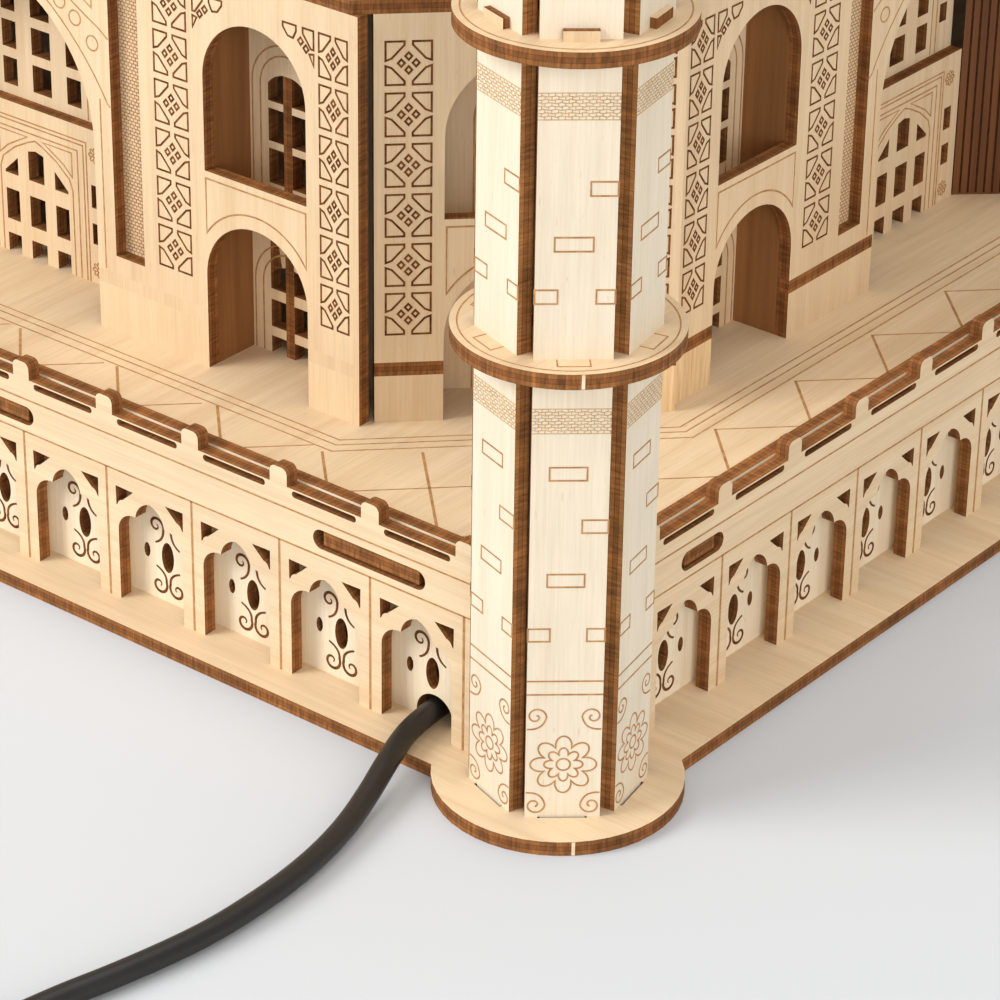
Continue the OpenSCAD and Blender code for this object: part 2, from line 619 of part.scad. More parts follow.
// ---- light and lead ----
module led_board() color([0.12, 0.35, 0.2]) translate([0, 0, deck_z]) linear_extrude(board_t) difference() {
    square(board, center = true);
    circle(wire_hole_r / 2);
}
module led_lamps() color([0.95, 0.95, 0.85]) for (x = [-11, 11], y = [-7, 7])
    translate([x, y, deck_z + board_t]) {
        cylinder(h = lamp_h, r = lamp_r);
        translate([0, 0, lamp_h]) intersection() {
            sphere(lamp_r);
            translate([0, 0, lamp_r]) cube(2 * lamp_r, center = true);
        }
    }
module lead_clamp() black_plastic()
    translate([lead_route[0][0] - clamp[0] / 2, lead_route[0][1], plate_z]) cube(clamp);
// A thin wire pair from the clamp along the base plate, then up through the deck to the board
module inner_wires() color([0.7, 0.1, 0.08]) {
    run = [lead_route[0][0], lead_route[0][1] + clamp[1]];
    translate([0, 0, plate_z + wire_r]) rotate([0, 0, atan2(run[1], run[0])]) rotate([0, 90, 0])
        cylinder(h = norm(run), r = wire_r - fit_gap, $fn = 16);
    translate([0, 0, plate_z + fit_gap]) cylinder(h = deck_z - plate_z + 1.5, r = wire_r, $fn = 16);
}
function unit(v) = v / norm(v);
function heading(p, i) = unit(p[min(i + 1, len(p) - 1)] - p[max(i - 1, 0)]);
// A round tube swept along a route, n sides to each ring
module tube(route, r, n = 8) {
    rings = [for (i = [0:len(route) - 1])
        let (t = heading(route, i), u = unit(cross(t, [0, 0, 1])), v = cross(u, t))
            for (j = [0:n - 1]) route[i] + r * (cos(360 / n * j) * u + sin(360 / n * j) * v)];
    last = n * (len(route) - 1);
    polyhedron(points = rings, faces = concat(
        [[for (j = [0:n - 1]) j]],
        [for (i = [0:len(route) - 2], j = [0:n - 1])
            [i * n + j, i * n + n + j, i * n + n + (j + 1) % n, i * n + (j + 1) % n]],
        [[for (j = [n - 1:-1:0]) last + j]]));
}
module power_lead() black_plastic() {
    tube(lead_route, lead_r);
    tube(switch_route, lead_r);
    tube(plug_route, lead_r);
}
module power_lead_coil() black_plastic() {
    half = lead_d * coil_rows / 2;
    translate([coil_at[0], coil_at[1], 0]) rotate_extrude($fn = 64)
        translate([coil_r - half, 0.1]) square([2 * half, 2 * lead_d]);
}
module switch_body() black_plastic() difference() {
    translate([switch_x[0], switch_y - switch_w / 2, 0])
        cube([switch_x[1] - switch_x[0], switch_w, switch_h]);
    translate([pivot_x - well[0] / 2, switch_y - well[1] / 2, well_z]) cube(well);
    translate([pivot_x, switch_y, pivot_z]) rotate([90, 0, 0])
        cylinder(h = pin_l + 0.4, r = pin_r + 0.06, center = true, $fn = 32);
}
module switch_rocker() color([0.75, 0.08, 0.06]) translate([pivot_x, switch_y, pivot_z])
    rotate([0, -rocker_tilt, 0]) rotate([90, 0, 0]) {
        linear_extrude(rocker_w, center = true) polygon(rocker_side);
        cylinder(h = pin_l, r = pin_r, center = true, $fn = 32);
    }
module usb_plug() translate([plug_x, switch_y, plug_z]) rotate([0, -90, 0]) {
    black_plastic() {
        cylinder(h = neck_l, r1 = neck_r[0], r2 = neck_r[1], $fn = 32);
        translate([0, 0, neck_l - eps]) linear_extrude(grip[2]) difference() {
            square([grip[0], grip[1]], center = true);
            for (a = [-1, 1], b = [-1, 1]) translate([a * grip[0], b * grip[1]] / 2) rotate(45)
                square(ply, center = true);
        }
    }
    color("silver") translate([0, 0, neck_l + grip[2]]) linear_extrude(shell[2]) difference() {
        square([shell[0], shell[1]], center = true);
        translate([shell_bore_z, 0]) square(shell_bore, center = true);
    }
}

base_plate();
deck_plate();
deck_supports();
arcade_wall(0);  // arcade_wall_front
arcade_wall(1);  // arcade_wall_right
arcade_wall(2);  // arcade_wall_back
arcade_wall(3);  // arcade_wall_left
arcade_screen(0);  // arcade_screen_front
arcade_screen(1);  // arcade_screen_right
arcade_screen(2);  // arcade_screen_back
arcade_screen(3);  // arcade_screen_left
lower_panels(0);  // minaret_fr_lower_panels
lower_panels(1);  // minaret_br_lower_panels
lower_panels(2);  // minaret_bl_lower_panels
lower_panels(3);  // minaret_fl_lower_panels
upper_panels(0);  // minaret_fr_upper_panels
upper_panels(1);  // minaret_br_upper_panels
upper_panels(2);  // minaret_bl_upper_panels
upper_panels(3);  // minaret_fl_upper_panels
balconies(0);  // minaret_fr_balconies
balconies(1);  // minaret_br_balconies
balconies(2);  // minaret_bl_balconies
balconies(3);  // minaret_fl_balconies
lantern(0);  // minaret_fr_lantern
lantern(1);  // minaret_br_lantern
lantern(2);  // minaret_bl_lantern
lantern(3);  // minaret_fl_lantern
facade(0);  // facade_front
facade(1);  // facade_right
facade(2);  // facade_back
facade(3);  // facade_left
chamfer_walls();
plinth_panels();
lower_band_strips();
niche_window_walls();
portal_window_walls();
portal_door_panels();
portal_reveals();
slot_backings();
roof_plate();
parapet_panels();
portal_top_boxes();
roof_pinnacles();
drum_panels();
drum_rings();
dome_ribs();
dome_rings();
dome_finial();
kiosk_plates();
kiosk_columns();
kiosk_domes();
led_board();
led_lamps();
lead_clamp();
inner_wires();
power_lead();
power_lead_coil();
switch_body();
switch_rocker();
usb_plug();
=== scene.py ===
"""Looks for the miniature landmark model: a laser-cut plywood mausoleum with a power lead.

The CAD nodes keep their shapes and get plywood materials, light on a sheet's faces and
burnt on its cut edges. Engraving is thin geometry that lies in the sheets' faces.
"""
import math
import bpy
import numpy as np
from mathutils import Matrix, Vector


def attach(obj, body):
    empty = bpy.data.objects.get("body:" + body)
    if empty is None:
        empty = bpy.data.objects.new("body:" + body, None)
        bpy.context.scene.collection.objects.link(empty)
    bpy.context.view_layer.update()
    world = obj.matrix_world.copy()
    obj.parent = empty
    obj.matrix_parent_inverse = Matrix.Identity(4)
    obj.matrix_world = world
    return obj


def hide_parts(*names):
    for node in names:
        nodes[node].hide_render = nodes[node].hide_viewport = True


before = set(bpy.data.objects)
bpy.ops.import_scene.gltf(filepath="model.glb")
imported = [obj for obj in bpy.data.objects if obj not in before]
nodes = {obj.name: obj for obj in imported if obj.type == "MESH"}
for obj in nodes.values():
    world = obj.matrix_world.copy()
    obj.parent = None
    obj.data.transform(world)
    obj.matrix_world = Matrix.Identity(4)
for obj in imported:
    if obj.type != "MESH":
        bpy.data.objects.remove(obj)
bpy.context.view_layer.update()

scene = bpy.context.scene

# Driving sizes in metres, as in the CAD: the arcade's bay and the sheet's thickness.
# Places on the model are in bays from its centre or from the base plate's top.
P = 0.0155
T = 0.002
MM = 0.001


# ---------------------------------------------------------------- camera
def add_camera():
    """Looks down on the front right corner from outside it."""
    right = Vector((0.77837, 0.62766, 0.01331))
    forward = Vector((-0.54557, 0.68677, -0.48032))
    up = right.cross(forward)
    data = bpy.data.cameras.new("camera")
    data.lens = 140.5
    data.sensor_width = 36.0
    data.clip_start = 0.01
    camera = bpy.data.objects.new("camera", data)
    rotation = Matrix((right, up, -forward)).transposed().to_4x4()
    camera.matrix_world = Matrix.Translation((0.3742, -0.4543, 0.2695)) @ rotation
    scene.collection.objects.link(camera)
    scene.camera = camera


add_camera()

# ---------------------------------------------------------------- power lead
LEAD_D = 3.0 * MM
# The route's points from part.scad, in metres: out through the front arcade, over the
# plate's edge and along the table to the coil, then on to the switch and the plug
LEAD_ROUTE = [
    (0.1008, -0.114, 0.0036), (0.1008, -0.119, 0.0036), (0.1011, -0.1245, 0.0036),
    (0.1022, -0.1305, 0.0037), (0.1042, -0.1365, 0.0033), (0.1062, -0.1425, 0.0024),
    (0.108, -0.1485, 0.0018), (0.1095, -0.155, 0.0016), (0.1105, -0.162, 0.0016),
    (0.1108, -0.169, 0.0016), (0.1106, -0.176, 0.0016), (0.1096, -0.183, 0.0016),
    (0.108, -0.1905, 0.0016), (0.1062, -0.1975, 0.0016), (0.1048, -0.205, 0.0016),
    (0.1041, -0.213, 0.0016), (0.104, -0.2215, 0.0016)]
SWITCH_ROUTE = [(0.067, -0.254, 0.0046), (0.0615, -0.254, 0.0047), (0.056, -0.254, 0.005)]
PLUG_ROUTE = [
    (0.018, -0.254, 0.005), (0.012, -0.254, 0.0043), (0.006, -0.254, 0.004),
    (0.0, -0.254, 0.0042), (-0.006, -0.254, 0.0046)]
COIL_AT = Vector((0.080, -0.230))
COIL_OUTER = 0.024
COIL_INNER = 0.012
COIL_END = 0.022
LAYER_Z = (0.0016, 0.0046)


def smooth(x):
    x = min(max(x, 0.0), 1.0)
    return x * x * (3.0 - 2.0 * x)


def coil_points(per_turn=40):
    """Clockwise: four turns inward on the table, then three and a quarter outward on top."""
    points = []
    inward = (COIL_OUTER - COIL_INNER) / LEAD_D
    second = inward + 1.0
    turns = inward + 3.25
    for i in range(int(turns * per_turn) + 1):
        turn = i / per_turn
        climb = turn - inward
        if turn <= inward:
            radius = COIL_OUTER - LEAD_D * turn
        elif turn <= second:
            tuck = 0.0003 * math.sin(math.pi * min(climb / 0.3, 1.0))
            radius = COIL_INNER - tuck + LEAD_D * smooth((climb - 0.25) / 0.75)
        else:
            start = COIL_INNER + LEAD_D
            radius = start + (COIL_END - start) * (turn - second) / (turns - second)
        z = LAYER_Z[0] + (LAYER_Z[1] - LAYER_Z[0]) * smooth(climb / 0.34)
        angle = -2.0 * math.pi * turn
        x = COIL_AT.x + radius * math.cos(angle)
        y = COIL_AT.y + radius * math.sin(angle)
        points.append((x, y, z))
    return points


def catmull(points, steps):
    """A smooth run of points through the given ones."""
    p = [Vector(q) for q in points]
    p = [2 * p[0] - p[1]] + p + [2 * p[-1] - p[-2]]
    run = []
    for i in range(1, len(p) - 2):
        for s in range(steps):
            t = s / steps
            run.append(0.5 * (
                2 * p[i] + (p[i + 1] - p[i - 1]) * t
                + (2 * p[i - 1] - 5 * p[i] + 4 * p[i + 1] - p[i + 2]) * t * t
                + (3 * p[i] - p[i - 1] - 3 * p[i + 1] + p[i + 2]) * t ** 3))
    run.append(p[-2])
    return run


def add_lead():
    """One spline from the clamp inside the podium, through the coil and switch, to the plug."""
    run = catmull(LEAD_ROUTE + [coil_points()[0]], 4)
    run += [Vector(q) for q in coil_points()[1:]]
    run += catmull([coil_points()[-1]] + SWITCH_ROUTE + PLUG_ROUTE, 4)[1:]
    curve = bpy.data.curves.new("power_lead_jacket", "CURVE")
    curve.dimensions = "3D"
    curve.bevel_depth = 1.0
    curve.bevel_resolution = 6
    curve.use_fill_caps = True
    spline = curve.splines.new("POLY")
    spline.points.add(len(run) - 1)
    for point, place in zip(spline.points, run):
        point.co = (*place, 1.0)
        point.radius = LEAD_D / 2
    spline.use_smooth = True
    lead = bpy.data.objects.new("power_lead_jacket", curve)
    scene.collection.objects.link(lead)
    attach(lead, "model")
    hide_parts("power_lead", "power_lead_coil")
    return lead


lead = add_lead()


# ---------------------------------------------------------------- materials
class Shader:
    """A small helper that builds a material's nodes one below the other."""

    def __init__(self, name, roughness, specular=0.4):
        self.material = bpy.data.materials.new(name)
        self.material.use_nodes = True
        self.tree = self.material.node_tree
        self.tree.nodes.clear()
        self.output = self.tree.nodes.new("ShaderNodeOutputMaterial")
        self.bsdf = self.tree.nodes.new("ShaderNodeBsdfPrincipled")
        self.bsdf.inputs["Roughness"].default_value = roughness
        self.bsdf.inputs["Specular IOR Level"].default_value = specular
        self.link(self.bsdf.outputs[0], self.output.inputs["Surface"])

    def link(self, a, b):
        self.tree.links.new(a, b)

    def node(self, kind, **values):
        made = self.tree.nodes.new("ShaderNode" + kind)
        for key, value in values.items():
            setattr(made, key, value)
        return made

    def coordinates(self, source, scale):
        """Texture coordinates of that kind, stretched by scale."""
        place = self.node("TexCoord")
        mapping = self.node("Mapping")
        mapping.inputs["Scale"].default_value = scale
        self.link(place.outputs[source], mapping.inputs["Vector"])
        return mapping.outputs[0]

    def noise(self, vector, scale, detail=4.0, rough=0.55, distortion=0.0):
        made = self.node("TexNoise")
        made.inputs["Scale"].default_value = scale
        made.inputs["Detail"].default_value = detail
        made.inputs["Roughness"].default_value = rough
        made.inputs["Distortion"].default_value = distortion
        self.link(vector, made.inputs["Vector"])
        return made.outputs["Fac"]

    def ramp(self, value, stops):
        made = self.node("ValToRGB")
        elements = made.color_ramp.elements
        while len(elements) < len(stops):
            elements.new(0.5)
        for element, (place, colour) in zip(elements, stops):
            element.position = place
            element.color = (*colour, 1.0)
        self.link(value, made.inputs["Fac"])
        return made.outputs["Color"]

    def multiply(self, factor, a, b):
        """Colour a darkened by colour b, as far as factor says."""
        made = self.node("Mix", data_type="RGBA", blend_type="MULTIPLY")
        made.inputs["Factor"].default_value = factor
        self.link(a, made.inputs["A"])
        self.link(b, made.inputs["B"])
        return made.outputs["Result"]

    def bump(self, height, strength, distance):
        made = self.node("Bump")
        made.inputs["Strength"].default_value = strength
        made.inputs["Distance"].default_value = distance
        self.link(height, made.inputs["Height"])
        self.link(made.outputs[0], self.bsdf.inputs["Normal"])


def grey(value):
    return (value, value, value)


def veneer(name, light, dark, grain_along_v=True):
    """A sheet's face: fine straight grain in UV metres, faint blotches and short pores."""
    s = Shader(name, roughness=0.62, specular=0.28)
    across, along = (1.0, 0.03) if grain_along_v else (0.03, 1.0)
    grain_uv = s.coordinates("UV", (across, along, 1.0))
    fine = s.noise(grain_uv, 3200.0, detail=6.0, rough=0.65)
    broad = s.noise(grain_uv, 420.0, detail=3.0, distortion=0.6)
    blotch = s.noise(s.coordinates("UV", (1.0, 1.0, 1.0)), 38.0, detail=3.0)
    pore_uv = s.coordinates("UV", (across, along * 5.0, 1.0))
    pores = s.noise(pore_uv, 2600.0, detail=2.0)
    base = s.ramp(broad, [(0.28, dark), (0.62, light)])
    streaks = s.ramp(fine, [(0.30, grey(0.80)), (0.62, grey(1.0))])
    patches = s.ramp(blotch, [(0.30, grey(0.90)), (0.70, grey(1.0))])
    specks = s.ramp(pores, [(0.24, (0.72, 0.62, 0.50)), (0.32, grey(1.0))])
    colour = s.multiply(0.55, base, streaks)
    colour = s.multiply(0.9, colour, patches)
    colour = s.multiply(0.5, colour, specks)
    s.link(colour, s.bsdf.inputs["Base Color"])
    s.bump(fine, 0.18, 0.00008)
    return s.material


def burnt_edge(name, core, char):
    """A laser-cut edge: three plies, charred at both faces, with streaks across the sheet."""
    s = Shader(name, roughness=0.78, specular=0.2)
    uv = s.node("TexCoord").outputs["UV"]
    split = s.node("SeparateXYZ")
    s.link(uv, split.inputs[0])
    plies = s.node("MapRange")
    plies.inputs["From Max"].default_value = T
    s.link(split.outputs["Y"], plies.inputs["Value"])
    glue_dark = tuple(0.9 * c for c in char)
    middle = tuple(0.5 * (a + b) for a, b in zip(core, char))
    bands = s.ramp(plies.outputs[0], [
        (0.0, middle), (0.08, core), (0.30, core), (0.33, glue_dark), (0.38, middle),
        (0.62, middle), (0.67, glue_dark), (0.70, core), (0.92, core), (1.0, middle)])
    streak_uv = s.coordinates("UV", (1.0, 0.12, 1.0))
    streaks = s.noise(streak_uv, 2400.0, detail=5.0, rough=0.7)
    scorch = s.noise(s.coordinates("UV", (1.0, 1.0, 1.0)), 170.0, detail=3.0)
    streaked = s.ramp(streaks, [(0.32, grey(0.34)), (0.66, grey(1.3))])
    patched = s.ramp(scorch, [(0.30, grey(0.5)), (0.68, grey(1.2))])
    colour = s.multiply(0.8, bands, streaked)
    colour = s.multiply(0.8, colour, patched)
    s.link(colour, s.bsdf.inputs["Base Color"])
    s.bump(streaks, 0.5, 0.00012)
    return s.material


def engraving(name, light, dark):
    """A laser-drawn line: scorched wood, uneven along its length."""
    s = Shader(name, roughness=0.85, specular=0.1)
    burn = s.noise(s.coordinates("Object", (1.0, 1.0, 1.0)), 900.0, detail=4.0)
    s.link(s.ramp(burn, [(0.32, dark), (0.66, light)]), s.bsdf.inputs["Base Color"])
    return s.material


def turned_wood(name, light, dark):
    """A round dowel: rings of grain that run up the piece."""
    s = Shader(name, roughness=0.5, specular=0.3)
    grain = s.noise(s.coordinates("Object", (1.0, 1.0, 0.06)), 2100.0, detail=5.0)
    s.link(s.ramp(grain, [(0.30, dark), (0.65, light)]), s.bsdf.inputs["Base Color"])
    s.bump(grain, 0.2, 0.0001)
    return s.material


def plastic(name, colour, roughness, texture_scale, texture_depth, coat=0.0):
    """Moulded plastic: slight unevenness of tone over a fine texture."""
    s = Shader(name, roughness=roughness, specular=0.5)
    s.bsdf.inputs["Coat Weight"].default_value = coat
    s.bsdf.inputs["Coat Roughness"].default_value = 0.2
    grain = s.noise(s.coordinates("Object", (1.0, 1.0, 1.0)), texture_scale, detail=3.0)
    shade = tuple(0.82 * c for c in colour)
    s.link(s.ramp(grain, [(0.35, shade), (0.65, colour)]), s.bsdf.inputs["Base Color"])
    s.bump(grain, 0.25, texture_depth)
    return s.material


def plated(name, colour):
    """Bright nickel plate with faint rolling marks."""
    s = Shader(name, roughness=0.24, specular=0.5)
    s.bsdf.inputs["Metallic"].default_value = 1.0
    marks = s.noise(s.coordinates("Object", (0.05, 1.0, 1.0)), 3000.0, detail=3.0)
    shade = tuple(0.8 * c for c in colour)
    s.link(s.ramp(marks, [(0.35, shade), (0.65, colour)]), s.bsdf.inputs["Base Color"])
    s.bump(marks, 0.1, 0.00004)
    return s.material


FACE = veneer("basswood_face", (0.79, 0.605, 0.39), (0.71, 0.515, 0.31))
FACE_LONG = veneer("basswood_face_long", (0.80, 0.62, 0.405), (0.72, 0.525, 0.32), False)
PALE = veneer("basswood_pale", (0.92, 0.79, 0.59), (0.86, 0.71, 0.50))
WHITE = veneer("basswood_white", (0.84, 0.735, 0.575), (0.79, 0.675, 0.505))
EDGE = burnt_edge("burnt_edge", (0.31, 0.122, 0.035), (0.17, 0.058, 0.016))
EDGE_LIGHT = burnt_edge("burnt_edge_light", (0.40, 0.175, 0.052), (0.17, 0.060, 0.017))
# the portals' reveals: very dark brown, partly the burn of their kerf cuts and partly painted shade of
# the deep portal recesses
REVEAL_BURN_AND_SHADE = veneer("reveal_burn_and_painted_shade", (0.17, 0.062, 0.018), (0.10, 0.034, 0.010))
# painted shade: a dark brown face for the niches' side sheets, standing for the shade in the niches'
# corners
NICHE_SIDE_SHADE = veneer("niche_side_painted_shade", (0.30, 0.135, 0.045), (0.22, 0.09, 0.028))
LINE = engraving("engraved_dark", (0.21, 0.078, 0.022), (0.075, 0.024, 0.007))
LINE_SOFT = engraving("engraved_soft", (0.50, 0.28, 0.12), (0.34, 0.16, 0.06))
LINE_FAINT = engraving("engraved_faint", (0.60, 0.42, 0.24), (0.48, 0.31, 0.15))
KERF = engraving("kerf_cut", (0.055, 0.018, 0.006), (0.025, 0.009, 0.003))
NIB = engraving("uncharred_nib", (0.86, 0.72, 0.52), (0.72, 0.54, 0.34))
DOWEL = turned_wood("turned_dowel", (0.80, 0.60, 0.36), (0.62, 0.41, 0.21))
JACKET = plastic("black_pvc", (0.010, 0.0085, 0.0075), 0.42, 1500.0, 0.00003)
BLACK = plastic("black_moulded", (0.022, 0.022, 0.024), 0.5, 4200.0, 0.00006)
RED = plastic("red_moulded", (0.42, 0.018, 0.014), 0.28, 2500.0, 0.00002, coat=0.3)
GREEN = plastic("solder_mask", (0.02, 0.13, 0.05), 0.35, 900.0, 0.00002, coat=0.4)
WIRE = plastic("red_wire", (0.45, 0.03, 0.02), 0.35, 2000.0, 0.00002)
LENS = plastic("lamp_epoxy", (0.85, 0.84, 0.74), 0.12, 1200.0, 0.00001, coat=0.6)
NICKEL = plated("nickel_plate", (0.78, 0.76, 0.72))


# ---------------------------------------------------------------- sheets
def solids_of(mesh):
    """For each polygon, the number of the separate solid that it belongs to."""
    co = np.array([v.co for v in mesh.vertices])
    keys = {}
    welded = [keys.setdefault(tuple(k), len(keys)) for k in np.round(co * 1e6).astype(int).tolist()]
    parent = list(range(len(keys)))

    def root(i):
        while parent[i] != i:
            parent[i] = parent[parent[i]]
            i = parent[i]
        return i

    for polygon in mesh.polygons:
        first = root(welded[polygon.vertices[0]])
        for v in polygon.vertices[1:]:
            parent[root(welded[v])] = first
    return [root(welded[p.vertices[0]]) for p in mesh.polygons]


def sheet_normal(normals, areas):
    """The direction that most of a solid's area faces."""
    best = normals[np.argmax(areas)]
    for _ in range(3):
        facing = np.abs(normals @ best) > 0.96
        signs = np.sign(normals[facing] @ best)
        best = (normals[facing] * (signs * areas[facing])[:, None]).sum(0)
        best /= np.linalg.norm(best)
    return best


# A solid thinner than this is a sheet, its keys included, and a thicker one is turned
THICKEST_SHEET = 1.8 * T
ON_FACE, ON_EDGE, OTHER = 0, 1, 2


def dress(node, face, edge=EDGE, dowel=DOWEL):
    """Gives a node's solids a face, an edge or a turned material, polygon by polygon, and UVs in
    metres: along and across the sheet on a face, along and through it on a cut edge."""
    mesh = nodes[node].data
    mesh.materials.clear()
    for material in (face, edge, dowel):
        mesh.materials.append(material)
    uv = (mesh.uv_layers.active or mesh.uv_layers.new(name="sheet")).data
    co = np.array([v.co for v in mesh.vertices])
    normals = np.array([p.normal for p in mesh.polygons])
    areas = np.array([p.area for p in mesh.polygons])
    groups = np.array(solids_of(mesh))
    for count, group in enumerate(np.unique(groups)):
        members = np.nonzero(groups == group)[0]
        n = sheet_normal(normals[members], areas[members])
        corners = np.unique([v for m in members for v in mesh.polygons[m].vertices])
        depth = co[corners] @ n
        is_sheet = depth.max() - depth.min() < THICKEST_SHEET
        side = np.cross((0, 0, 1), n) if abs(n[2]) < 0.9 else np.array((1.0, 0, 0))
        side = side / np.linalg.norm(side)
        up = np.cross(n, side)
        shift = np.array((0.173 * count % 1.0, 0.611 * count % 1.0))
        for m in members:
            polygon = mesh.polygons[m]
            on_face = abs(normals[m] @ n) > 0.9
            polygon.material_index = OTHER if not is_sheet else (ON_FACE if on_face else ON_EDGE)
            along = np.cross(n, normals[m])
            length = np.linalg.norm(along)
            along = along / length if length > 1e-6 else side
            for loop, v in zip(polygon.loop_indices, polygon.vertices):
                place = co[v]
                if on_face:
                    uv[loop].uv = shift + (place @ side, place @ up)
                else:
                    uv[loop].uv = (place @ along + shift[0], place @ n - depth.min())


def paint(node, material):
    mesh = nodes[node].data
    mesh.materials.clear()
    mesh.materials.append(material)


FITTINGS = {
    "led_board": GREEN, "led_lamps": LENS, "lead_clamp": BLACK, "inner_wires": WIRE,
    "power_lead": JACKET, "power_lead_coil": JACKET, "switch_body": BLACK,
    "switch_rocker": RED, "usb_plug": BLACK}


def dress_all():
    for node in nodes:
        if node.startswith("arcade_wall") or node == "base_plate":
            dress(node, FACE_LONG)
        elif node.startswith("arcade_screen"):
            dress(node, PALE)
        elif node.startswith("minaret") and node.endswith("panels"):
            dress(node, WHITE, EDGE_LIGHT)
        elif node == "portal_reveals":
            # the reveals get a very dark face: kerf burn and painted shade of the recess
            dress(node, REVEAL_BURN_AND_SHADE)
        elif nodes[node].data.polygons and node not in FITTINGS:
            dress(node, FACE)
    for node, material in FITTINGS.items():
        if node != "usb_plug":
            paint(node, material)


dress_all()
lead.data.materials.append(JACKET)


def paint_plug():
    """The plug's overmould is black and its shell, the solid at the far end, is plated."""
    mesh = nodes["usb_plug"].data
    mesh.materials.clear()
    mesh.materials.append(BLACK)
    mesh.materials.append(NICKEL)
    groups = solids_of(mesh)
    lowest = {}
    for polygon, group in zip(mesh.polygons, groups):
        reach = min(mesh.vertices[v].co.x for v in polygon.vertices)
        lowest[group] = min(reach, lowest.get(group, reach))
    shell = min(lowest, key=lowest.get)
    for polygon, group in zip(mesh.polygons, groups):
        polygon.material_index = 1 if group == shell else 0


paint_plug()


# ---------------------------------------------------------------- engraving
class Plane:
    """A sheet's face to draw on, in bays: u runs along it, v up it, n is out of it."""

    def __init__(self, origin, along, out, up=(0, 0, 1)):
        self.origin, self.along, self.out, self.up = (Vector(q) for q in (origin, along, out, up))

    def at(self, u, v, n):
        return self.origin + P * (self.along * u + self.up * v) + self.out * n


def turned(vector, degrees):
    return Matrix.Rotation(math.radians(degrees), 3, "Z") @ Vector(vector)


def wall(k, distance, base=T):
    """Face of side k (0 front, 1 right, 2 back, 3 left) at that many bays from the centre."""
    out = turned((0, -1, 0), 90 * k)
    return Plane(out * distance * P + Vector((0, 0, base)), turned((1, 0, 0), 90 * k), out)


def chamfer(k, distance):
    out = turned((0, -1, 0), 45 + 90 * k)
    return Plane(out * distance * P + Vector((0, 0, T)), turned((1, 0, 0), 45 + 90 * k), out)


class Lines:
    """Collects drawn lines as thin closed bars sunk into a face, and makes one piece of them."""

    def __init__(self, name, material, width=0.26 * MM, proud=0.03 * MM, sunk=0.05 * MM):
        self.name, self.material = name, material
        self.width, self.proud, self.sunk = width, proud, sunk
        self.verts, self.faces = [], []

    def section(self):
        """A bar's cross-section: places across it from -1 to 1, and heights over the face."""
        return (-1, -self.sunk), (-0.9, self.proud), (0.9, self.proud), (1, -self.sunk)

    def draw(self, plane, path, closed=False, width=None, swell=None):
        """Draws one line; swell gives its relative width along the way, from 0 to 1."""
        path = [Vector(q) for q in path]
        full = (width or self.width) / 2 / P
        count, base = len(path), len(self.verts)
        for i, point in enumerate(path):
            half = full * swell(i / (count - 1)) if swell else full
            before = path[i - 1] if closed or i else point
            after = path[(i + 1) % count] if closed or i < count - 1 else point
            d0 = (point - before).normalized() if (point - before).length > 1e-7 else None
            d1 = (after - point).normalized() if (after - point).length > 1e-7 else None
            direction = ((d0 or d1) + (d1 or d0)).normalized() if (d0 or d1) else Vector((1, 0))
            if direction.length < 0.5:
                direction = d1
            side = Vector((-direction.y, direction.x))
            reach = half / max(0.5, abs(side.dot(Vector((-(d1 or d0).y, (d1 or d0).x)))))
            for across, depth in self.section():
                q = point + side * reach * across
                self.verts.append(plane.at(q.x, q.y, depth))
        for i in range(count if closed else count - 1):
            a, b = base + 4 * i, base + 4 * ((i + 1) % count)
            for j in range(4):
                k = (j + 1) % 4
                self.faces.append((a + j, b + j, b + k, a + k))
        if not closed:
            self.faces.append(tuple(base + j for j in range(4)))
            self.faces.append(tuple(base + 4 * (count - 1) + j for j in (3, 2, 1, 0)))

    def box(self, plane, u0, u1, v0, v1):
        """Draws an upright rectangle."""
        self.draw(plane, [(u0, v0), (u1, v0), (u1, v1), (u0, v1)], closed=True)

    def finish(self):
        mesh = bpy.data.meshes.new(self.name)
        mesh.from_pydata([tuple(v) for v in self.verts], [], self.faces)
        mesh.validate()
        mesh.materials.append(self.material)
        obj = bpy.data.objects.new(self.name, mesh)
        scene.collection.objects.link(obj)
        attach(obj, "model")
        return obj


def arc(cx, cy, r, a0, a1, n):
    """Part of a circle from angle a0 to a1 in degrees, in n steps."""
    angles = [math.radians(a0 + (a1 - a0) * i / n) for i in range(n + 1)]
    return [(cx + r * math.cos(a), cy + r * math.sin(a)) for a in angles]


def bend(a, b, c, n=7):
    """A quadratic curve from a to c that leans to b."""
    run = []
    for i in range(n + 1):
        t = i / n
        run.append(tuple((1 - t) ** 2 * p + 2 * t * (1 - t) * q + t * t * r for p, q, r in zip(a, b, c)))
    return run


def scroll(tail, lean, centre, start, radius, sweep, n=22):
    """A tail that runs into a curl: start is the angle where it meets the curl, sweep its turn."""
    curl = []
    for i in range(n + 1):
        t = i / n
        angle = math.radians(start + sweep * t)
        r = radius * (1.0 - 0.86 * t)
        curl.append((centre[0] + r * math.cos(angle), centre[1] + r * math.sin(angle)))
    return bend(tail, lean, curl[0])[:-1] + curl


def mirrored(path, sign):
    return [(sign * u, v) for u, v in path]


def moved(path, du, dv=0.0):
    return [(u + du, v + dv) for u, v in path]


# ---- podium
# Front and back first, then left and right: an arcade's face, and half of its long lines
ARCADE_FACE = (8.175, 8.0)
ARCADE_HALF = (7.14, 7.25)
ARCADE_HEAD = 1.275
RAIL_FOOT = 1.60
SCREEN_SET = 0.212
BAYS = 14
BAY_CENTRES = [i - (BAYS - 1) / 2 for i in range(BAYS)]


